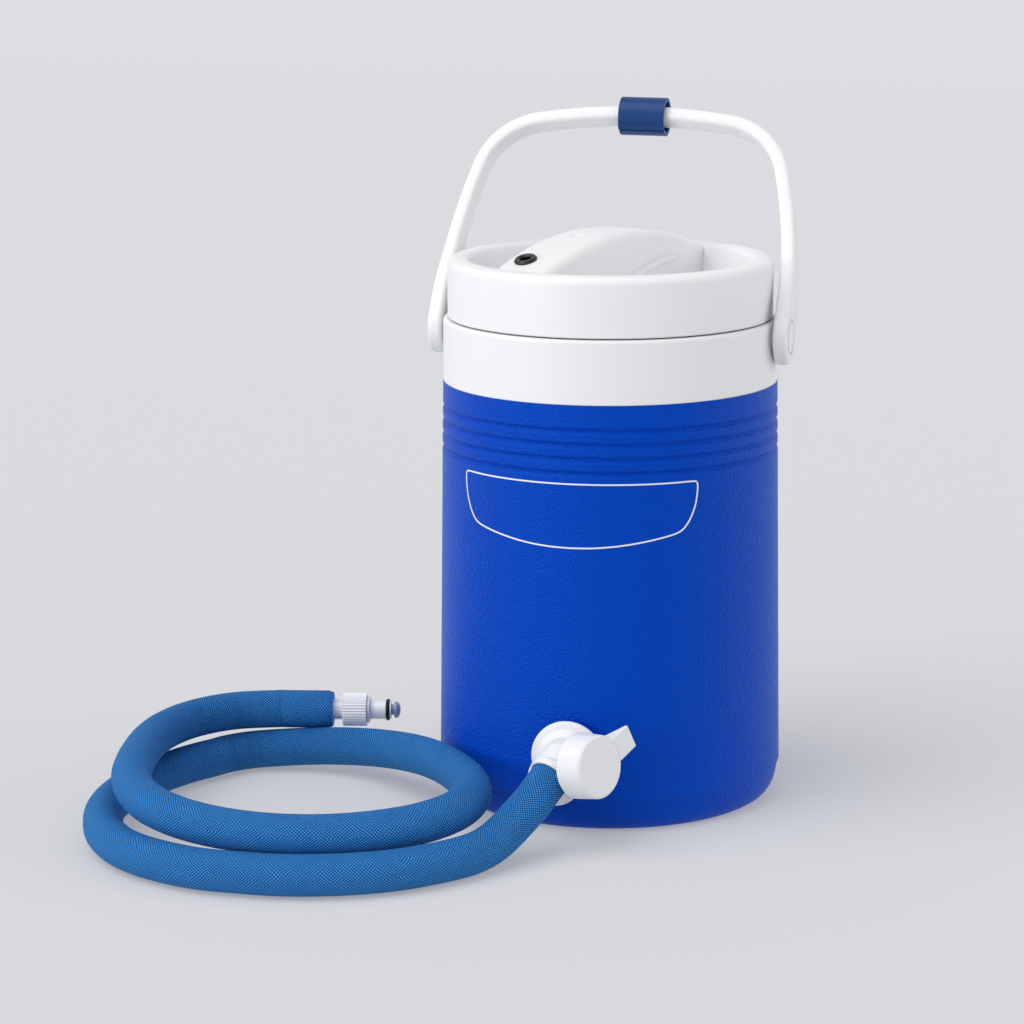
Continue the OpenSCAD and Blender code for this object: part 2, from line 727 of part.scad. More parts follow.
module motor_case() {
    color("#b8bdc3") at_bar() translate([0, motor_g, motor_z]) rotate([-90, 0, 0]) difference() {
        union() {
            cylinder(r = motor_r, h = motor_len);
            translate([0, 0, -2]) cylinder(r = 5, h = 3);
            translate([0, 0, motor_len - eps]) cylinder(r = 4, h = 2);
        }
        translate([0, 0, -3]) cylinder(r = shaft_r + turn_fit, h = motor_len - 2, $fn = 32);
    }
}

module motor_shaft() {
    color("#8f959b") at_bar() translate([0, motor_g, motor_z]) rotate([-90, 0, 0]) {
        translate([0, 0, -10]) cylinder(r = shaft_r, h = 30, $fn = 32);
        translate([cam_off, 0, -9.4]) cylinder(r = cam_r, h = cam_t, $fn = 48);
    }
}

module pump_head() {
    // housing of the diaphragm pump, hollow where the cam turns
    color("#2f3338") at_bar() translate([0, motor_g - 2.2, motor_z]) difference() {
        translate([-head_w / 2, -head_len, -head_h / 2]) cube([head_w, head_len, head_h]);
        rotate([90, 0, 0]) translate([0, 0, -1]) cylinder(r = cam_r + cam_off + 1.6, h = cam_t + 5);
        for (x = [-9.5, 9.5], z = [-11.5, 11.5]) translate([x, -head_len - 1, z])
            rotate([-90, 0, 0]) cylinder(r = 1.2, h = 9, $fn = 24);
        translate([0, nozzle_g - motor_g + 2.2, 0]) rod(nozzle_r + fit, -head_h, -head_h / 2 + 6);
    }
}

module pump_head_screws() {
    color("#c9ccd0") at_bar() translate([0, motor_g - 2.2, motor_z])
        for (x = [-9.5, 9.5], z = [-11.5, 11.5]) translate([x, -head_len, z]) rotate([-90, 0, 0]) {
            translate([0, 0, -1.8]) cylinder(r = 2.2, h = 1.8, $fn = 24);
            cylinder(r = 1.1, h = 7, $fn = 24);
        }
}

module air_nozzle() {
    // carries air from the pump head into the tub
    color("#cfd6dc") at_bar() translate([0, nozzle_g, 0]) difference() {
        union() {
            rod(nozzle_r, plug_z - 9, motor_z - head_h / 2 + 5);
            rod(nozzle_r + 2.4, plug_z - 1.6, plug_z - 0.02);
            translate([0, 0, plug_z - 9]) cylinder(r1 = nozzle_r, r2 = nozzle_r + 0.8, h = 2.4);
        }
        rod(1.5, plug_z - 10, motor_z - head_h / 2 + 6);
    }
}

module relief_valve() {
    // small umbrella valve below the dimple on the grip bar
    color("#3a3d42") on_bar(vent_at) translate([0, 0, -lid_wall]) difference() {
        union() {
            translate([0, 0, -5]) cylinder(r = 1.5, h = 5 + 1);
            translate([0, 0, -5.5]) cylinder(r1 = 4.2, r2 = 3.2, h = 1.6);
            translate([0, 0, -4]) cylinder(r = 3.4, h = 3.8);
        }
        translate([0, 0, -6]) cylinder(r = 0.6, h = 9, $fn = 24);
    }
}

// ---------- tap ----------
module tap_body() {
    color("#f4f5f6") difference() {
        union() {
            at_spigot() {
                rod(shank_r, -shank_y, -flange_y);
                rotate_extrude() polygon([
                    [0, -flange_y], [flange_r, -flange_y], [flange_r, -flange_y + 1.6],
                    [flange_r - 1.2, -flange_y + flange_t - 0.6],
                    [flange_r - 4, -flange_y + flange_t], [flange_r - 5, -flange_y + flange_t + 1.6],
                    [13, -flange_y + flange_t + 4], [0, -flange_y + flange_t + 4]]);
                rod(10, -flange_y, -barrel_y - 2);
                translate([lobe_at[0], lobe_at[1], -flange_y]) rotate_extrude() polygon([
                    [0, 0], [lobe_r, 0], [lobe_r, flange_t - 1], [lobe_r - 1, flange_t],
                    [0, flange_t]]);
            }
            at_barrel() rod(barrel_r, barrel_back - barrel_wall, barrel_front);
            at_outlet() {
                rod(gland_r - 0.6, -4, gland_back - seat);
                rod(spout_r, 0, gland_floor);
            }
        }
        at_barrel() rod(barrel_bore, barrel_back, barrel_front + 1);
        at_spigot() rod(water_r, -shank_y - 1, -barrel_y - 4);
        at_outlet() rod(water_r - 0.4, 2, gland_floor + 1);
    }
}

module tap_gasket() {
    color("#33363a") at_spigot()
        ring(flange_r - 2, shank_r + hole_slip, pad_y + seat, pad_y + gasket_t - seat);
}
module tap_washer() {
    color("#33363a") at_spigot()
        ring(tub_pad_r - 3, shank_r + fit, -tub_pad_y - washer_t + seat, -tub_pad_y - seat);
}
module tap_nut() {
    color("#eceef0") at_spigot() difference() {
        union() {
            translate([0, 0, -tub_pad_y - washer_t - tap_nut_t])
                cylinder(d = nut_hex / cos(30), h = tap_nut_t - 1.6, $fn = 6);
            rod(nut_hex / 2 + 1.6, -tub_pad_y - washer_t - 1.6, -tub_pad_y - washer_t);
        }
        rod(shank_r + fit, 0, body_r);
    }
}

module tap_rotor() {
    // hollow plug with an inlet port and an outlet port in its side
    color("#d9dde1") at_barrel() difference() {
        union() {
            rod(rotor_r, rotor_back, rotor_front);
            intersection() {
                rod(stem_r, rotor_front - 1, knob_face - knob_wall - slip);
                translate([-stem_r, -stem_r, 0]) cube([2 * stem_r, 1.8 * stem_r, knob_face]);
            }
        }
        rod(rotor_hollow, rotor_back - 1, 4.6);
        rotate([0, 0, inlet_turn]) translate([0, 0, inlet_s]) rotate([0, 90, 0])
            cylinder(r = water_r, h = barrel_r);
        rotate([0, 0, 180 + outlet_dip]) rotate([0, 90, 0]) cylinder(r = water_r - 0.4, h = barrel_r);
        translate([0, 0, seal_s]) rotate_extrude() translate([rotor_r - 0.9, 0])
            square([2, 2.6], center = true);
    }
}
module rotor_seal() {
    color("#222427") at_barrel() translate([0, 0, seal_s]) rotate_extrude()
        translate([rotor_r - 0.95, 0]) circle(r = 0.92, $fn = 24);
}
module rotor_ring() {
    color("#c9ccd0") at_barrel()
        ring(barrel_bore - 0.02, stem_r + 0.4, rotor_front + 0.2, rotor_front + 0.2 + ring_t);
}

module tap_lever() {
    color("#f7f8f9") at_barrel() {
        rotate_extrude() polygon([
                [barrel_r + slip + 1, knob_back], [knob_r + knob_flare - 0.6, knob_back],
                [knob_r + knob_flare, knob_back + 0.8], [knob_r, knob_face - 1.2],
                [knob_r - 1.2, knob_face], [0, knob_face], [0, knob_face - knob_wall],
                [knob_r - knob_wall, knob_face - knob_wall - 1],
                [knob_r - knob_wall, knob_back + 3.4], [barrel_r + slip + 1, knob_back + 2.2]]);
        difference() {
            rod(hub_r, barrel_front + slip, knob_face - knob_wall + eps);
            intersection() {
                rod(stem_r + turn_fit, barrel_front - 1, knob_face - knob_wall - 0.1);
                translate([-stem_r - 1, -stem_r - 1, 0])
                    cube([2 * stem_r + 2, 1.8 * stem_r + 1 + fit, knob_face]);
            }
        }
        rotate([0, 0, lever_up]) difference() {
            rotate([90, 0, 0]) linear_extrude(lever_w, center = true) polygon([
                [knob_r - 2.4, knob_face - lever_root_t], [lever_len, knob_face - lever_tip_t],
                [lever_len, knob_face - 0.6], [lever_len - 0.8, knob_face],
                [knob_r - 2.4, knob_face]]);
            rod(knob_r - knob_wall / 2, knob_back, knob_face + 1);
        }
    }
}

module hose_gland() {
    color("#f1f2f4") at_outlet()
        rotate_extrude() polygon([
            [spout_r + fit, gland_back], [gland_r - 0.6, gland_back], [gland_r, gland_back + 0.8],
            [gland_r, gland_floor + gland_depth - 0.6],
            [gland_r - 0.6, gland_floor + gland_depth],
            [hose_r + fit + 0.2, gland_floor + gland_depth],
            [hose_r + fit, gland_floor + gland_depth - 1], [hose_r + fit, gland_floor],
            [spout_r + fit, gland_floor]]);
}

// ---------- hose ----------
// Places along the outlet, in the part's own frame
function out_dir() = let (up = sin(outlet_dip), t = sin(barrel_tilt))
    [-cos(outlet_dip) * cos(barrel_az) + up * t * sin(barrel_az),
     -cos(outlet_dip) * sin(barrel_az) - up * t * cos(barrel_az), -up * cos(barrel_tilt)];
function out_at(d) = [0, barrel_y, barrel_z] + d * out_dir();
hose_start = gland_floor + fit;
function coil_at(a) =
    let (u = (coil_from - a) / (coil_from - coil_to), c = loop_from + (loop_to - loop_from) * u,
         r = loop_r + loop_spread * (1 - u) + oval_d * cos(2 * (a - oval_az))
             + pear_d * cos(3 * (a - pear_az)))
    [c[0] + r * cos(a), barrel_y + c[1] + r * sin(a),
     lay_z + loop_lean * smooth((lean_from - a) / (lean_from - lean_to))
         + (loop_climb - loop_lean) * smooth((climb_from - a) / (climb_from - climb_to))];
coil_join = coil_at(coil_from);
join_dir = unit(coil_at(coil_from - 0.5) - coil_join);
coil_last = coil_at(coil_to);
end_dir = unit(coil_last - coil_at(coil_to + 0.5));
end_at = coil_last + coil_end_run * end_dir;
coil_steps = ceil(coil_rings * (coil_from - coil_to) / 360);
function coil_points() = concat(
    [coil_join, coil_join + 3 * join_dir],
    [for (i = [1 : coil_steps]) coil_at(coil_from + (coil_to - coil_from) * i / coil_steps)],
    [coil_last + 8 * end_dir, end_at]);
function lead_points() = concat(
    [out_at(hose_start), out_at(hose_start + 12), out_at(hose_start + 23)],
    [for (p = LEAD) [p[0], barrel_y + p[1], p[2]]],
    [coil_join - 8 * join_dir, coil_join - join_gap * join_dir]);

// One ring round each point, square to the run, its first corner kept on top
function run_dir(p, i) = i == 0 ? unit(p[1] - p[0])
    : i == len(p) - 1 ? unit(p[i] - p[i - 1])
    : unit(unit(p[i + 1] - p[i]) + unit(p[i] - p[i - 1]));
function ring_at(p, i, r, n) =
    let (d = run_dir(p, i), s = unit(cross([0, 0, 1], d)), u = cross(d, s))
    [for (k = [0 : n - 1]) p[i] + r * (cos(360 * (k + 0.5) / n) * s + sin(360 * (k + 0.5) / n) * u)];
module tube(p, r, n) {
    m = len(p);
    polyhedron(
        points = [for (i = [0 : m - 1]) each ring_at(p, i, r, n)],
        faces = concat(
            [for (k = [1 : n - 2]) [0, k + 1, k]],
            [for (i = [0 : m - 2], k = [0 : n - 1]) each
                [[i * n + k, (i + 1) * n + (k + 1) % n, (i + 1) * n + k],
                 [i * n + k, i * n + (k + 1) % n, (i + 1) * n + (k + 1) % n]]],
            [for (k = [1 : n - 2]) [(m - 1) * n, (m - 1) * n + k, (m - 1) * n + k + 1]]),
        convexity = 8);
}

module hose_lead() { color("#24599a") tube(lead_points(), hose_r, lead_sides); }
module hose_coil() { color("#24599a") tube(coil_points(), hose_r, coil_sides); }

// Least gap of the coil to itself, between points a third of a turn or more apart
COIL = coil_points();
apart = floor(coil_rings / 3);
gaps = [for (i = [0 : len(COIL) - 1 - apart], j = [i + apart : len(COIL) - 1])
    norm(COIL[i] - COIL[j]) - hose_d];
echo(least_gap_of_coil = min(gaps));
function run_len(p) = [for (i = [1 : len(p) - 1]) norm(p[i] - p[i - 1])];
function total(v, i = 0) = i == len(v) ? 0 : v[i] + total(v, i + 1);
// and of the coil to the free stretch, away from their join
RUN = lead_points();
echo(least_gap_to_lead = min([for (i = [0 : len(RUN) - 5], j = [4 : len(COIL) - 1])
    norm(RUN[i] - COIL[j]) - hose_d]));
echo(hose_length = total(run_len(lead_points())) + total(run_len(COIL)));

// ---------- connector ----------
module at_end() {
    translate(end_at) rotate([0, 90, atan2(end_dir[1], end_dir[0])]) children();
}
nut_at = stub_len;
ring_at_x = nut_at + nut_len + 0.2;
insert_at = ring_at_x + ring_len;
seal_at = insert_at + insert_len;
tip_at = seal_at + seal_len;

module tube_stub() {
    color("#dfe6ea") at_end() ring(stub_r, tail_r + fit, fit, nut_at + 3);
}
module connector_body() {
    color("#f3f4f5") at_end() difference() {
        union() {
            rod(tail_r, fit + 0.6, nut_at + nut_len);
            rod(nut_bore - 0.3, nut_at + 5, ring_at_x);
            rod(collar_ring_r, ring_at_x, insert_at);
            rod(insert_d / 2, insert_at - eps, seal_at);
            rod(insert_d / 2 - 1.5, seal_at - eps, tip_at);
            rod(insert_d / 2 - 0.2, tip_at - 0.4, tip_at + 0.4);
        }
        rod(poppet_r + turn_fit, nut_at + 6, tip_at + 2);
        rod(2.4, 0, nut_at + 7);
    }
}
module knurled_nut() {
    color("#f5f6f7") at_end() difference() {
        translate([0, 0, nut_at]) linear_extrude(nut_len) polygon([
            for (k = [0 : 2 * knurl_count - 1]) let (a = 180 * k / knurl_count,
                r = nut_d / 2 - (k % 2 == 0 ? 0 : 0.7)) [r * cos(a), r * sin(a)]]);
        rod(stub_r + slip, nut_at - 1, nut_at + 4.6);
        rod(nut_bore - 0.3 + turn_fit, nut_at + 4.6 - eps, nut_at + nut_len + 1);
    }
}
module connector_seal() {
    color("#191a1c") at_end() translate([0, 0, seal_at + seal_len / 2 - 0.2]) rotate_extrude()
        translate([insert_d / 2 - 1.5 + 1.2, 0]) circle(r = 1.18, $fn = 24);
}
module connector_poppet() {
    color("#8fa2b5") at_end() {
        rod(poppet_r, nut_at + 8, tip_at + 1.4 + poppet_travel);
        translate([0, 0, tip_at + 0.5 + poppet_travel - 0.1]) rotate_extrude() polygon(concat(
            [[0, 0], [dome_r, 0], [dome_r, 1.2]],
            [for (i = [1 : 5]) [dome_r * cos(18 * i), 1.2 + (dome_len - 1.2) * sin(18 * i)]]));
    }
}

outer_shell();
foam_jacket();
inner_tub();
collar();
fill_plug();
bail_handle();
pivot_pin_left();
pivot_pin_right();
hose_clip();
lid_shell();
lid_base();
lid_gasket();
lid_foam();
lid_screws();
power_socket();
socket_nut();
circuit_board();
pump_cradle();
motor_case();
motor_shaft();
pump_head();
pump_head_screws();
air_nozzle();
relief_valve();
tap_body();
tap_gasket();
tap_washer();
tap_nut();
tap_rotor();
rotor_seal();
rotor_ring();
tap_lever();
hose_gland();
hose_lead();
hose_coil();
tube_stub();
connector_body();
knurled_nut();
connector_seal();
connector_poppet();
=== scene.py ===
import json
import math
import bmesh
import bpy
from mathutils import Matrix, Vector


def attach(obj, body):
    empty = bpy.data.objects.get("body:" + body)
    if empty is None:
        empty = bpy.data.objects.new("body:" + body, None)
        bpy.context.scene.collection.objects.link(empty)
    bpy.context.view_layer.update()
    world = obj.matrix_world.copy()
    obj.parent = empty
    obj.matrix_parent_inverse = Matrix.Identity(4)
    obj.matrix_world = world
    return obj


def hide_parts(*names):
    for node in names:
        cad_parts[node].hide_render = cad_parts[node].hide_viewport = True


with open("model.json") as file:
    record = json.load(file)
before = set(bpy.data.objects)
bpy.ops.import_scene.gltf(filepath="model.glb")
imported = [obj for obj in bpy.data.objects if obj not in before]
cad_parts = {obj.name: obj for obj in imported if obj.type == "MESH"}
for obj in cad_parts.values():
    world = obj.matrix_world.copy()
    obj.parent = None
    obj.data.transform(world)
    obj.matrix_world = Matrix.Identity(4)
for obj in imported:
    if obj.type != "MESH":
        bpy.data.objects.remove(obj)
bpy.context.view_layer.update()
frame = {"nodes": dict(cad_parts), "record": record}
cad = frame["nodes"]
scene = bpy.context.scene
print("stage: frame loaded")


# Meshes

def linkMesh(name, points, faces, material, sharp=38, uvs=None):
    mesh = bpy.data.meshes.new(name)
    mesh.from_pydata([tuple(p) for p in points], [], faces)
    mesh.materials.append(material)
    if uvs:
        layer = mesh.uv_layers.new(name="UVMap")
        for loop, uv in zip(layer.data, uvs):
            loop.uv = uv
    mesh.validate()
    mesh.shade_smooth()
    mesh.set_sharp_from_angle(angle=math.radians(sharp))
    piece = bpy.data.objects.new(name, mesh)
    scene.collection.objects.link(piece)
    return piece


def wear(piece, body, slot, *hidden):
    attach(piece, body)
    if hidden:
        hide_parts(*hidden)


def solid(name, points, faces, material, sharp=38):
    # points in mm; doubled ones are merged and every face is turned outwards
    piece = linkMesh(name, [p / 1000 for p in points], faces, material, sharp)
    work = bmesh.new()
    work.from_mesh(piece.data)
    bmesh.ops.remove_doubles(work, verts=work.verts, dist=2e-6)
    loose = [e for e in work.edges if not e.link_faces]
    bmesh.ops.delete(work, geom=loose, context="EDGES")
    bmesh.ops.recalc_face_normals(work, faces=work.faces)
    work.to_mesh(piece.data)
    work.free()
    return piece


def lathe(name, profile, steps, material, place=None):
    # a closed profile of radius and height, turned about Z and then put in its place
    points = []
    faces = []
    rows = len(profile)
    for i in range(steps):
        angle = 2 * math.pi * i / steps
        here = i * rows
        after = (i + 1) % steps * rows
        for k, (radius, height) in enumerate(profile):
            n = (k + 1) % rows
            points.append(Vector((radius * math.cos(angle), radius * math.sin(angle), height)))
            faces.append((here + k, after + k, after + n, here + n))
    if place is not None:
        points = [place @ p for p in points]
    return solid(name, points, faces, material)


def loft(name, rings, material, sharp=38):
    # rings of equal count, joined in turn and closed at both ends
    count = len(rings[0])
    points = [p for ring in rings for p in ring]
    faces = []
    for here in range(0, len(points) - count, count):
        after = here + count
        for k in range(count):
            n = (k + 1) % count
            faces.append((here + k, here + n, after + n, after + k))
    faces.append(tuple(range(count)))
    faces.append(tuple(range(len(points) - count, len(points))))
    return solid(name, points, faces, material, sharp)


def combine(piece, tool, operation, sharp=38):
    change = piece.modifiers.new(operation, "BOOLEAN")
    change.operation = operation
    change.solver = "EXACT"
    change.object = tool
    bpy.context.view_layer.update()
    graph = bpy.context.evaluated_depsgraph_get()
    made = bpy.data.meshes.new_from_object(piece.evaluated_get(graph))
    piece.modifiers.clear()
    piece.data = made
    made.shade_smooth()
    made.set_sharp_from_angle(angle=math.radians(sharp))
    bpy.data.objects.remove(tool)


def circlePoint(angle, radius=1):
    return radius * math.cos(angle), radius * math.sin(angle)


def arc(x, z, radius, first, last, steps):
    # points of an arc, its angles in degrees
    points = []
    for i in range(steps + 1):
        across, up = circlePoint(math.radians(first + (last - first) * i / steps), radius)
        points.append((x + across, z + up))
    return points


def smoothLine(points, step):
    # a curve through all the points, cut into parts of about one step
    line = []
    count = len(points)
    for i in range(count - 1):
        a = points[max(i - 1, 0)]
        b = points[i]
        c = points[i + 1]
        d = points[min(i + 2, count - 1)]
        if i == 0:
            a = b * 2 - c
        if i == count - 2:
            d = c * 2 - b
        parts = max(1, round((c - b).length / step))
        for k in range(parts):
            t = k / parts
            line.append(0.5 * ((2 * b) + (c - a) * t + (2 * a - 5 * b + 4 * c - d) * t * t
                               + (3 * b - a - 3 * c + d) * t * t * t))
    line.append(points[-1].copy())
    return line


def frames(line):
    # direction, side and top of a line at each of its points, turned as little as can be
    places = []
    side = None
    for i, point in enumerate(line):
        before = line[max(i - 1, 0)]
        after = line[min(i + 1, len(line) - 1)]
        ahead = (after - before).normalized()
        if side is None:
            side = Vector((0, 0, 1)).cross(ahead).normalized()
        side = (side - ahead * side.dot(ahead)).normalized()
        places.append((point, ahead, side, ahead.cross(side)))
    return places


# Shading

def newMaterial(name, colour, **values):
    material = bpy.data.materials.new(name)
    material.use_nodes = True
    shader = material.node_tree.nodes["Principled BSDF"]
    shader.inputs["Base Color"].default_value = (*colour, 1)
    for key, value in values.items():
        shader.inputs[key.replace("_", " ")].default_value = value
    return material, material.node_tree, shader


def plain(name, colour, roughness, coat=0.0, metallic=0.0, specular=0.5):
    return newMaterial(name, colour, Roughness=roughness, Metallic=metallic, Coat_Weight=coat,
                       Specular_IOR_Level=specular)[0]


def softEdges(material, radius):
    # moulded edges catch the light as a small rounding does
    tree = material.node_tree
    bevel = tree.nodes.new("ShaderNodeBevel")
    bevel.samples = 6
    bevel.inputs["Radius"].default_value = radius
    tree.links.new(bevel.outputs[0], tree.nodes["Principled BSDF"].inputs["Normal"])
    return material


def newGroup(name, numbers, outputs):
    # a node group with named numbers to set, its input and output nodes and its coordinates
    tree = bpy.data.node_groups.new(name, "ShaderNodeTree")
    for key, value in numbers.items():
        made = tree.interface.new_socket(name=key, in_out="INPUT", socket_type="NodeSocketFloat")
        made.default_value = value
    for key, kind in outputs.items():
        tree.interface.new_socket(name=key, in_out="OUTPUT", socket_type=kind)
    given, out, where = (tree.nodes.new(kind) for kind in (
        "NodeGroupInput", "NodeGroupOutput", "ShaderNodeTexCoord"))
    return tree, given, out, where


def calc(tree, operation, first, second=None):
    node = tree.nodes.new("ShaderNodeMath")
    node.operation = operation
    for slot, value in zip(node.inputs, (first, second)):
        if value is None:
            continue
        if isinstance(value, (int, float)):
            slot.default_value = value
        else:
            tree.links.new(value, slot)
    return node.outputs[0]


def bumpOut(tree, given, out, height, distance):
    bump = tree.nodes.new("ShaderNodeBump")
    bump.inputs["Distance"].default_value = distance
    tree.links.new(given.outputs["Depth"], bump.inputs["Strength"])
    tree.links.new(height, bump.inputs["Height"])
    tree.links.new(bump.outputs["Normal"], out.inputs["Normal"])


grained = {
    "smooth": 0.35, "detail": 3, "rough": 0.55,
    # the noise's scale as a share of the cells', and how much of each goes into the height
    "wide": 0.55, "cells": 0.85, "noise": 0.4, "high": 0.0006,
}


def pebbleGroup():
    # leather grain that a mould leaves: rounded cells of uneven size
    tree, given, out, where = newGroup("Pebble", {"Grain Scale": 500.0, "Depth": 0.5},
                                       {"Normal": "NodeSocketVector"})
    cells = tree.nodes.new("ShaderNodeTexVoronoi")
    cells.feature = "SMOOTH_F1"
    cells.inputs["Smoothness"].default_value = grained["smooth"]
    blur = tree.nodes.new("ShaderNodeTexNoise")
    blur.inputs["Detail"].default_value = grained["detail"]
    blur.inputs["Roughness"].default_value = grained["rough"]
    tree.links.new(where.outputs["Object"], cells.inputs["Vector"])
    tree.links.new(given.outputs["Grain Scale"], cells.inputs["Scale"])
    tree.links.new(where.outputs["Object"], blur.inputs["Vector"])
    wide = calc(tree, "MULTIPLY", given.outputs["Grain Scale"], grained["wide"])
    tree.links.new(wide, blur.inputs["Scale"])
    dome = calc(tree, "SUBTRACT", 1.0, cells.outputs["Distance"])
    height = calc(tree, "ADD", calc(tree, "MULTIPLY", dome, grained["cells"]),
                  calc(tree, "MULTIPLY", blur.outputs["Fac"], grained["noise"]))
    bumpOut(tree, given, out, height, grained["high"])
    return tree


# the strands wander by so many strand widths, and a low power rounds their tops
braided = {"scale": 0.12, "detail": 2, "shift": 2.4, "power": 0.6, "high": 0.0012}


def braidGroup():
    # braided sleeve: U counts the strands round the hose and V the same size along it
    tree, given, out, where = newGroup(
        "Braid", {"Depth": 0.8}, {"Ridge": "NodeSocketFloat", "Normal": "NodeSocketVector"})
    wander = tree.nodes.new("ShaderNodeTexNoise")
    wander.inputs["Scale"].default_value = braided["scale"]
    wander.inputs["Detail"].default_value = braided["detail"]
    tree.links.new(where.outputs["UV"], wander.inputs["Vector"])
    split = tree.nodes.new("ShaderNodeSeparateXYZ")
    tree.links.new(where.outputs["UV"], split.inputs[0])
    shift = calc(tree, "MULTIPLY", wander.outputs["Fac"], braided["shift"])
    across = calc(tree, "ADD", split.outputs[0], shift)
    strands = []
    for way in ("ADD", "SUBTRACT"):
        slant = calc(tree, "MULTIPLY", calc(tree, way, across, split.outputs[1]), math.pi)
        strands.append(calc(tree, "ABSOLUTE", calc(tree, "SINE", slant)))
    ridge = calc(tree, "POWER", calc(tree, "MULTIPLY", *strands), braided["power"])
    tree.links.new(ridge, out.inputs["Ridge"])
    bumpOut(tree, given, out, ridge, braided["high"])
    return tree


def useGroup(material, group, **values):
    node = material.node_tree.nodes.new("ShaderNodeGroup")
    node.node_tree = group
    for name, value in values.items():
        node.inputs[name.replace("_", " ")].default_value = value
    return node


def rampColour(tree, factor, stops):
    ramp = tree.nodes.new("ShaderNodeValToRGB")
    for element, (position, colour) in zip(ramp.color_ramp.elements, stops):
        element.position = position
        element.color = (*colour, 1)
    tree.links.new(factor, ramp.inputs[0])
    return ramp.outputs[0]


white = softEdges(plain("white", (0.83, 0.832, 0.84), 0.42, specular=0.3), 0.0008)
lidSmooth = softEdges(plain("lidSmooth", (0.835, 0.837, 0.845), 0.38, specular=0.35), 0.0014)
bailSmooth = plain("bailSmooth", (0.83, 0.832, 0.84), 0.36, specular=0.35)
whiteGloss = plain("whiteGloss", (0.85, 0.852, 0.858), 0.3, coat=0.1)
navy = softEdges(plain("navy", (0.005, 0.045, 0.18), 0.36, specular=0.25), 0.0006)
black = plain("black", (0.012, 0.012, 0.013), 0.3)
rubber = plain("rubber", (0.008, 0.008, 0.009), 0.4, specular=0.3)
greySeal = plain("greySeal", (0.11, 0.115, 0.12), 0.6)
foam = plain("foam", (0.72, 0.62, 0.38), 0.9)
steel = plain("steel", (0.55, 0.56, 0.58), 0.32, metallic=1)
board = plain("board", (0.01, 0.09, 0.045), 0.4)
clearTube = plain("clearTube", (0.7, 0.715, 0.735), 0.22, coat=0.2)
paleBlue = plain("paleBlue", (0.24, 0.31, 0.45), 0.25, coat=0.4)
labelWhite = plain("labelWhite", (0.82, 0.84, 0.88), 0.4)

blueShell, shellTree, shellShader = newMaterial(
    "blueShell", (0.0002, 0.054, 0.48), Roughness=0.4, Specular_IOR_Level=0.2,
    Specular_Tint=(0.2, 0.6, 1, 1), Sheen_Weight=0.3, Sheen_Roughness=0.3,
    Sheen_Tint=(0.08, 0.42, 1, 1))
grain = useGroup(blueShell, pebbleGroup(), Grain_Scale=820.0, Depth=0.85)
shellTree.links.new(grain.outputs["Normal"], shellShader.inputs["Normal"])

sleeve, sleeveTree, sleeveShader = newMaterial(
    "sleeve", (0.8, 0.8, 0.8), Roughness=0.75, Specular_IOR_Level=0.15)
weave = useGroup(sleeve, braidGroup(), Depth=1.0)
# the weave's colour follows its ridges: painted shade in the gaps between strands and a painted
# highlight on the strand tops, over the strands' own blue
weaveShadeAndHighlight = ((0.15, (0.001, 0.014, 0.1)), (0.7, (0.056, 0.38, 1.0)))
sleeveTree.links.new(rampColour(sleeveTree, weave.outputs["Ridge"], weaveShadeAndHighlight),
                     sleeveShader.inputs["Base Color"])
sleeveTree.links.new(weave.outputs["Normal"], sleeveShader.inputs["Normal"])
print("stage: materials")


# Camera, as fitted to the photograph

fitted = {
    "lens": 112.5, "sensor": 36, "end": 20,
    "place": (0.41348, -1.77682, 0.5492),
    "right": (0.96667, 0.25599, -0.00478),
    "up": (-0.04835, 0.20086, 0.97843),
    "back": (0.25142, -0.94558, 0.20655),
}
camera = bpy.data.objects.new("camera", bpy.data.cameras.new("camera"))
scene.collection.objects.link(camera)
camera.data.lens = fitted["lens"]
camera.data.sensor_width = fitted["sensor"]
camera.data.clip_end = fitted["end"]
turn = Matrix((fitted["right"], fitted["up"], fitted["back"])).transposed()
camera.matrix_world = Matrix.Translation(fitted["place"]) @ turn.to_4x4()
scene.camera = camera


# Hose, the one cord: a free stretch through points in mm, then a loop from a formula

hose = {
    "radius": 0.01125, "sides": 40, "step": 0.003,
    "strands": 40, "pitch": 0.0018,
    # the sleeve's cut ends draw in by this share over this length
    "tuck": 0.09, "tuckRun": 0.0016,
    "exit": (-0.00291, -0.12553, 0.04109),
    "lead": [(-2.9, -125.5, 41.1), (-7.1, -134.9, 34.8), (-10.9, -143.4, 29.0), (-20, -160, 18.5),
             (-26, -172, 13.6), (-32, -183, 11.7), (-39, -194, 11.45), (-50, -207, 11.45),
             (-64, -220, 11.45), (-82, -231, 11.45), (-102, -239, 11.45), (-123, -244, 11.45),
             (-144, -245, 11.45), (-165, -244.5, 11.45), (-184, -240, 11.45),
             (-200, -233.5, 11.45), (-212, -226.6, 11.45), (-223, -218, 11.45),
             (-233, -207, 11.45), (-241, -195.5, 11.45), (-247.5, -182, 11.45),
             (-253.5, -166, 11.45), (-257.3, -149, 11.45), (-258.6, -131, 11.45),
             (-257.6, -112, 11.45), (-254, -93, 11.45), (-248.5, -75, 11.45),
             (-241.5, -58.5, 11.45), (-232.6, -43.4, 11.45), (-225.8, -31.8, 11.45)],
    # the loop, from its first angle to its last, and its straight end
    "turn": (115, -250), "turnSteps": 25, "tail": (8, 34),
    "centre": (-153.65, -144.04), "drift": (-13.75, 35.14), "loop": 88, "spread": 30.6,
    # waves of the radius: height, count and angle of the crest
    "waves": [(12.3, 2, 125.5), (5.6, 3, -5.3)],
    # height it lies at, and climbs over what it crosses: height, angle and span
    "lie": 11.45, "climbs": [(17, 125, 90), (6.6, -60, 100)],
}


def ease(t):
    t = min(1, max(0, t))
    return t * t * (3 - 2 * t)


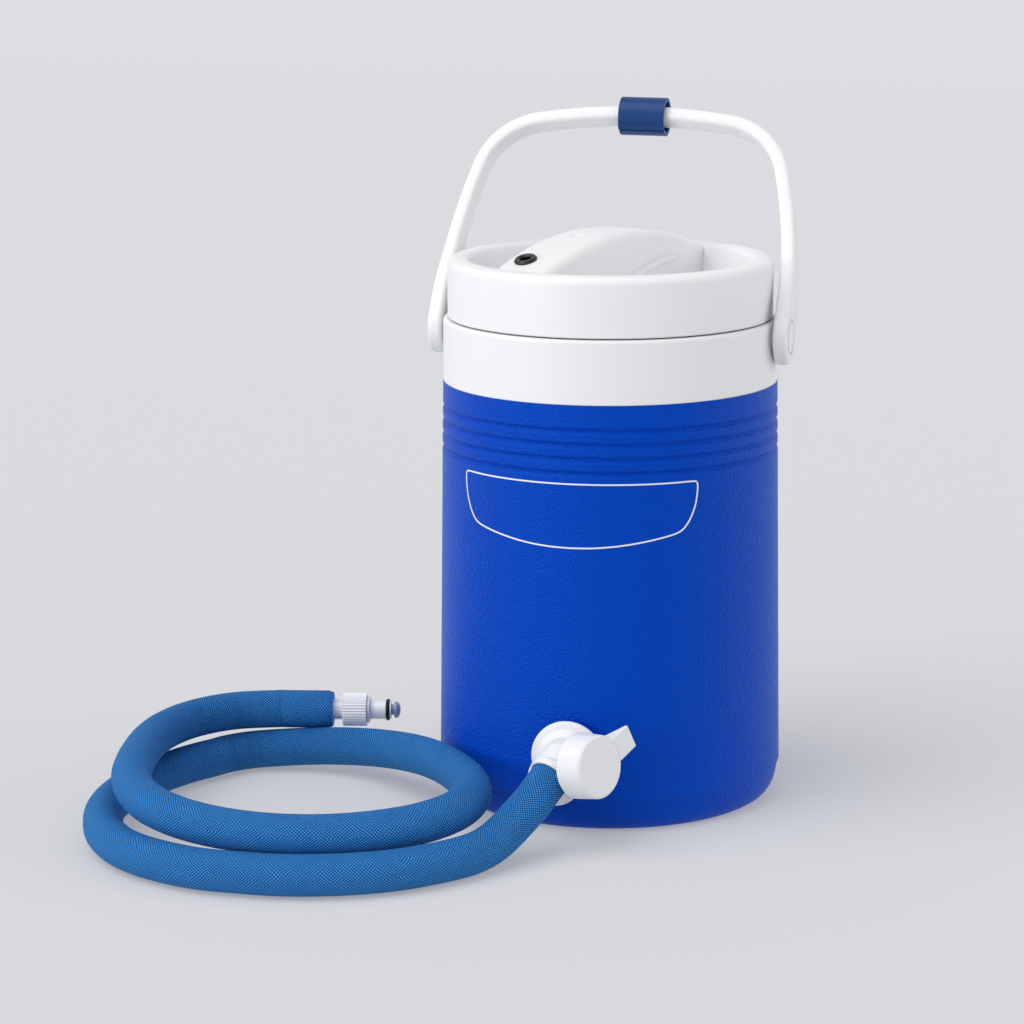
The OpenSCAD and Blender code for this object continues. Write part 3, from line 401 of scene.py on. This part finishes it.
def coilPoint(angle):
    first, last = hose["turn"]
    u = (first - angle) / (first - last)
    radius = hose["loop"] + hose["spread"] * (1 - u)
    for height, count, crest in hose["waves"]:
        radius += height * math.cos(count * math.radians(angle - crest))
    z = hose["lie"] + sum(rise * ease((start - angle) / span)
                          for rise, start, span in hose["climbs"])
    across, along = circlePoint(math.radians(angle), radius)
    return Vector((hose["centre"][0] + hose["drift"][0] * u + across,
                   hose["centre"][1] + hose["drift"][1] * u + along, z))


def hoseRoute():
    first, last = hose["turn"]
    steps = hose["turnSteps"]
    points = [Vector(p) for p in hose["lead"]]
    points += [coilPoint(first - (first - last) * i / steps) for i in range(steps + 1)]
    ahead = (coilPoint(last) - coilPoint(last + 0.5)).normalized()
    points += [coilPoint(last) + ahead * run for run in hose["tail"]]
    return smoothLine([p / 1000 for p in points], hose["step"])


hoseLine = hoseRoute()


def makeHose():
    sides = hose["sides"]
    points = []
    along = [0.0]
    places = frames(hoseLine)
    for a, b in zip(hoseLine, hoseLine[1:]):
        along.append(along[-1] + (b - a).length)
    total = along[-1]
    for (point, _, side, top), run in zip(places, along):
        left = min(run, total - run)
        r = hose["radius"] * (1 - hose["tuck"] * max(0, 1 - left / hose["tuckRun"]) ** 2)
        for k in range(sides):
            c, s = circlePoint(2 * math.pi * k / sides)
            points.append(point + (side * c + top * s) * r)
    faces = []
    uvs = []
    for i in range(len(hoseLine) - 1):
        here = i * sides
        after = here + sides
        v0, v1 = (run / hose["pitch"] for run in along[i:i + 2])
        for k in range(sides):
            n = (k + 1) % sides
            faces.append((here + k, here + n, after + n, after + k))
            u0, u1 = (hose["strands"] * j / sides for j in (k, k + 1))
            uvs += [(u0, v0), (u1, v0), (u1, v1), (u0, v1)]
    last = (len(hoseLine) - 1) * sides
    for base, outward in ((0, False), (last, True)):
        centre = len(points)
        points.append(hoseLine[-1 if outward else 0])
        for k in range(sides):
            edge = (base + k, base + (k + 1) % sides)
            faces.append((centre, *(edge if outward else edge[::-1])))
            uvs += [(0, 0), (0.2, 0), (0.2, 0.2)]
    return linkMesh("hoseSleeve", points, faces, sleeve, 60, uvs), total


hosePiece, hoseLength = makeHose()
wear(hosePiece, "jug", "sleeve", "hose_lead", "hose_coil")
print("stage: hose", round(hoseLength, 4))


# Label outline, a raised white line on the shell; the lettering is left out

label = {
    # the right half, as azimuth in degrees and height in mm
    "half": [(0, 199.6), (30, 199.6), (41.4, 199.6), (42.6, 199.0), (43.1, 197.6), (43.0, 193),
             (42.2, 186), (40.6, 179.4), (39.2, 175.8), (37.8, 173.2), (35.8, 171.3), (33, 170.0),
             (26, 167.7), (17, 165.4), (8, 164.0), (0, 163.6)],
    "flatR": 98, "width": 0.85, "sunk": 0.0001, "proud": 0.00018,
    # the shell's taper, as height and radius in metres
    "shellLow": (0.019, 0.1), "shellHigh": (0.2436, 0.0964),
}


def onShell(azimuth, z, out):
    (low, wide), (high, narrow) = label["shellLow"], label["shellHigh"]
    radius = wide + (narrow - wide) * (z - low) / (high - low) + out
    return Vector((radius * math.sin(azimuth), -radius * math.cos(azimuth), z))


def makeLabel():
    half = label["half"]
    flatR = label["flatR"]
    ring = [(-a, z) for a, z in half[::-1]] + half[1:-1]
    flat = [Vector((math.radians(a) * flatR, z, 0)) for a, z in ring]
    flat.append(flat[0].copy())
    line = smoothLine(flat, 1.0)[:-1]
    points = []
    count = len(line)
    for i, p in enumerate(line):
        ahead = (line[(i + 1) % count] - line[i - 1]).normalized()
        side = Vector((-ahead.y, ahead.x, 0)) * label["width"] / 2
        for q in (p - side, p + side):
            for out in (-label["sunk"], label["proud"]):
                points.append(onShell(q.x / flatR, q.y / 1000, out))
    faces = []
    for i in range(count):
        a = i * 4
        b = (i + 1) % count * 4
        faces += [(a + j, a + k, b + k, b + j) for j, k in ((1, 3), (0, 1), (3, 2), (2, 0))]
    return linkMesh("labelOutline", points, faces, labelWhite, 30)


wear(makeLabel(), "jug", "white")


# Bail: a moulded strap with rounded edges that swings on two flush pins

bail = {
    "pivot": 270.6, "lean": 30.7, "half": 105.4, "thick": 8.2, "foot": 16, "edge": 2.3,
    "bow": 0.0015, "even": 15.5, "bend": 102.4, "cornerR": 45.1, "crownR": 348, "crownZ": -207.65,
    # half the strap's width at heights over the pivot
    "widths": [(0, 16), (16, 14.9), (30, 12), (44, 9), (60, 7.6), (76, 7), (200, 7)],
    "headR": 10.3, "headDepth": 2.7, "shankR": 5.7, "shankDepth": 11.7, "boreLength": 14,
    "footStops": (-15.97, -15.7, -15.2, -14.3, -13.1, -11.5, -9, -6, -3, 0, 4, 8, 12, 15.5),
    "armSteps": 24, "cornerSteps": 24, "crownSteps": 12, "edgeSteps": 5, "sharp": 32,
}
atBail = (Matrix.Translation((0, 0, bail["pivot"]))
          @ Matrix.Rotation(math.radians(-bail["lean"]), 4, "X"))


def strapWidth(s):
    steps = bail["widths"]
    for (low, before), (high, after) in zip(steps, steps[1:]):
        if s <= high:
            return before + (after - before) * ((s - low) / (high - low))
    return steps[-1][1]


def bailStations():
    # along one arm, its corner and half the crown: outer point and outward angle from level
    slope = 2 * bail["bow"]
    rise = bail["bend"] - bail["even"]
    places = [(bail["half"], s, 0.0) for s in bail["footStops"]]
    for i in range(1, bail["armSteps"] + 1):
        run = rise * i / bail["armSteps"]
        places.append((bail["half"] - bail["bow"] * run * run, bail["even"] + run,
                       math.atan(slope * run)))
    lean = math.atan(slope * rise)
    across, up = circlePoint(lean, bail["cornerR"])
    x = places[-1][0] - across
    z = bail["bend"] - up
    crown = math.asin(x / (bail["crownR"] - bail["cornerR"]))
    for i in range(1, bail["cornerSteps"] + 1):
        a = lean + (math.pi / 2 - crown - lean) * i / bail["cornerSteps"]
        across, up = circlePoint(a, bail["cornerR"])
        places.append((x + across, z + up, a))
    for i in range(1, bail["crownSteps"] + 1):
        a = crown * (1 - i / bail["crownSteps"])
        up, across = circlePoint(a, bail["crownR"])
        places.append((across, bail["crownZ"] + up, math.pi / 2 - a))
    return places


def bailRing(x, s, angle, side):
    # the strap's section at one station: half widths and half thicknesses, then all four sides
    edge = bail["edge"]
    outer = []
    for k in range(bail["edgeSteps"] + 1):
        inset = edge * (1 - math.cos(math.pi / 2 * k / bail["edgeSteps"]))
        if s < 0:
            across = math.sqrt(max(0, (bail["foot"] - inset) ** 2 - s * s))
            inset = bail["foot"] - math.hypot(s, across)
        else:
            across = strapWidth(s) - inset
        rise = math.sqrt(edge * edge - (edge - min(edge, inset)) ** 2)
        outer.append((across, bail["thick"] / 2 - edge + rise))
    half = outer + [(-y, t) for y, t in outer[::-1]]
    ring = []
    for y, t in half + [(y, -t) for y, t in half[::-1]]:
        inward, down = circlePoint(angle, bail["thick"] / 2 - t)
        ring.append(atBail @ Vector((side * (x - inward), y, s - down)))
    return ring


def makeBail():
    places = bailStations()
    rings = [bailRing(*place, 1) for place in places]
    rings += [bailRing(*place, -1) for place in places[-2::-1]]
    piece = loft("bailStrap", rings, bailSmooth, bail["sharp"])
    for side in (1, -1):
        turned = atBail @ Matrix.Rotation(math.radians(90 * side), 4, "Y")
        for bore in ("head", "shank"):
            radius = bail[bore + "R"]
            low = bail["half"] - bail[bore + "Depth"]
            high = low + bail["boreLength"]
            tool = lathe("bore", [(0, low), (radius, low), (radius, high), (0, high)], 64,
                         bailSmooth, turned)
            combine(piece, tool, "DIFFERENCE", bail["sharp"])
    return piece


wear(makeBail(), "bail", "white", "bail_handle")
print("stage: bail")


# Lid: a turned body with two pockets and a hollow arched grip bar between them

lid = {
    "low": 280.2, "radius": 93.4, "rim": 314, "round": 5, "pocketR": 80, "floor": 287, "wall": 2.8,
    # the outer wall's lower edge
    "edgeIn": 0.4, "edgeUp": 0.5, "skirtIn": 2,
    # the rim's inner edge, the pocket's wall as steps inward and off the rim or floor, its foot
    "lip": 4, "lipOut": 4.4, "lipEnd": 172, "wallTop": (0.4, 8), "wallFoot": (2.0, 8),
    "footR": 4.5, "footIn": 7,
    # the grip bar: how it stands, its arch, its ends and the room under it
    "turn": 21.5, "aside": 6, "width": 37, "crest": 328.5, "crestR": 222.46, "edge": 5.5,
    "reach": 83, "sunk": 1, "roomReach": 74, "roomDown": 8, "roomEdge": 2,
    # holes in the bar's crest, at places across and along it
    "jack": (-4.3, -68), "jackR": 4.3, "jackHole": (-8, 4),
    "vent": (-1.1, -22.4), "ventR": 1.6, "ventHole": (-6, 2), "dimpleR": 6, "dimple": 1.9,
    # the rib on the bar's wall, along the bar and in height, and how it runs out
    "rib": [(-22, 293.5), (-10, 297.5), (0, 300.4), (10, 303.3), (22, 306.2), (33, 308.3),
            (43, 308.9), (50, 308.4), (53, 307.8)],
    "ribR": 2.6, "ribSunk": 0.4, "ribTip": 0.15, "ribGrow": 0.28, "ribSides": 16, "ribStep": 3,
}
atLid = (Matrix.Rotation(math.radians(-lid["turn"]), 4, "Z")
         @ Matrix.Translation((-lid["aside"], 0, 0)))


def barSolid(name, inset, edge, reach, foot, steps):
    # one arched bar, as wide and high as the grip less an inset
    half = lid["width"] / 2 - inset
    rings = []
    for i in range(steps + 1):
        along = -reach + 2 * reach * i / steps
        top = (lid["crest"] - lid["crestR"]
               + math.sqrt((lid["crestR"] - inset) ** 2 - along * along))
        side = [(half, foot)] + arc(half - edge, top - edge, edge, 0, 90, 7)
        outline = side + [(-m, z) for m, z in side[::-1]]
        rings.append([atLid @ Vector((m, along, z)) for m, z in outline])
    return loft(name, rings, lidSmooth)


def ribSolid():
    across = lid["width"] / 2 - lid["ribSunk"]
    line = smoothLine([Vector((across, along, z)) for along, z in lid["rib"]], lid["ribStep"])
    rings = []
    for i, p in enumerate(line):
        size = lid["ribR"] * min(1, lid["ribTip"] + (len(line) - 1 - i) * lid["ribGrow"])
        ring = []
        for k in range(lid["ribSides"]):
            out, up = circlePoint(2 * math.pi * k / lid["ribSides"], size)
            ring.append(atLid @ (p + Vector((out, 0, up))))
        rings.append(ring)
    return loft("rib", rings, lidSmooth)


def onBar(place, out):
    # square on the bar's crest, at a place across and along it
    across, along = place
    angle = math.asin(along / lid["crestR"])
    return (atLid @ Matrix.Translation((across, 0, lid["crest"] - lid["crestR"]))
            @ Matrix.Rotation(-angle, 4, "X") @ Matrix.Translation((0, 0, lid["crestR"] + out)))


def rod(radius, span, steps, place):
    low, high = span
    profile = [(0, low), (radius, low), (radius, high), (0, high)]
    return lathe("hole", profile, steps, lidSmooth, onBar(place, 0))


def lidProfile():
    radius, rim, inner, floor = lid["radius"], lid["rim"], lid["pocketR"], lid["floor"]
    under = floor - lid["wall"]
    profile = [(radius - lid["edgeIn"], lid["low"]), (radius, lid["low"] + lid["edgeUp"])]
    profile += arc(radius - lid["round"], rim - lid["round"], lid["round"], 0, 90, 8)
    profile += arc(inner + lid["lipOut"], rim - lid["lip"], lid["lip"], 90, lid["lipEnd"], 8)
    profile += [(inner - lid["wallTop"][0], rim - lid["wallTop"][1]),
                (inner - lid["wallFoot"][0], floor + lid["wallFoot"][1])]
    profile += arc(inner - lid["footIn"], floor + lid["footR"], lid["footR"], 0, -90, 6)
    profile += [(0, floor), (0, under), (radius - lid["wall"] - lid["skirtIn"], under),
                (radius - lid["wall"], lid["low"])]
    return profile


def makeLid():
    floor = lid["floor"]
    ball = arc(0, 0, lid["dimpleR"], -90, 90, 24)
    atBall = onBar(lid["vent"], lid["dimpleR"] - lid["dimple"])
    piece = lathe("lidBody", lidProfile(), 180, lidSmooth)
    bar = barSolid("bar", 0, lid["edge"], lid["reach"], floor - lid["sunk"], 60)
    combine(piece, bar, "UNION")
    combine(piece, ribSolid(), "UNION")
    room = barSolid("room", lid["wall"], lid["roomEdge"], lid["roomReach"],
                    floor - lid["roomDown"], 30)
    combine(piece, room, "DIFFERENCE")
    combine(piece, rod(lid["jackR"], lid["jackHole"], 48, lid["jack"]), "DIFFERENCE")
    combine(piece, lathe("ball", ball, 48, lidSmooth, atBall), "DIFFERENCE")
    combine(piece, rod(lid["ventR"], lid["ventHole"], 32, lid["vent"]), "DIFFERENCE")
    return piece


wear(makeLid(), "lid", "white", "lid_shell")
print("stage: lid")


# The CAD pieces, each in the material of its slot

slots = {
    "blue_shell": blueShell, "white": white, "white_gloss": whiteGloss, "navy": navy,
    "foam": foam, "seal_black": rubber, "seal_grey": greySeal, "black": black, "steel": steel,
    "board": board, "sleeve": sleeve, "tube": clearTube, "poppet": paleBlue,
}
for entry in frame["record"]["subparts"]:
    node = cad[entry["node"]]
    node.data.materials.clear()
    node.data.materials.append(slots[entry["material_slot"]])
print("stage: CAD materials")


# Stage: a floor that curves up behind, three soft suns and a pale sky

sweep = {"front": -6, "bend": 4.2, "radius": 4, "high": 9, "side": 7, "under": 0.0001}
# part of the floor's tone is its own light, which keeps the shadows as pale as in the photo
floorMaterial = newMaterial(
    "floor", (0.4, 0.402, 0.41), Roughness=0.95, Specular_IOR_Level=0.05,
    Emission_Color=(0.275, 0.278, 0.286, 1), Emission_Strength=1)[0]


def makeFloor():
    radius = sweep["radius"]
    profile = [(sweep["front"], 0)] + arc(sweep["bend"], radius, radius, -90, 0, 30)
    profile.append((sweep["bend"] + radius, sweep["high"]))
    points = [(x, y, z - sweep["under"])
              for x in (-sweep["side"], sweep["side"]) for y, z in profile]
    n = len(profile)
    faces = [(i, i + 1, n + i + 1, n + i) for i in range(n - 1)]
    return linkMesh("floor", points, faces, floorMaterial, 60)


makeFloor()


def sun(name, place, power, spread):
    light = bpy.data.lights.new(name, "SUN")
    light.energy = power
    light.angle = math.radians(spread)
    holder = bpy.data.objects.new(name, light)
    scene.collection.objects.link(holder)
    holder.location = place
    holder.rotation_euler = (-Vector(place)).to_track_quat("-Z", "Y").to_euler()


sun("key", (-0.85, -0.77, 1.83), 1.5, 55)
sun("front", (-0.616, -0.788, 0.1), 0.95, 24)
sun("fill", (1.2, 0.3, 0.38), 0.7, 45)

world = bpy.data.worlds.new("world")
scene.world = world
world.use_nodes = True
sky = world.node_tree.nodes["Background"]
sky.inputs["Color"].default_value = (0.97, 0.98, 1.0, 1)
sky.inputs["Strength"].default_value = 0.55
scene.view_settings.view_transform = "Standard"
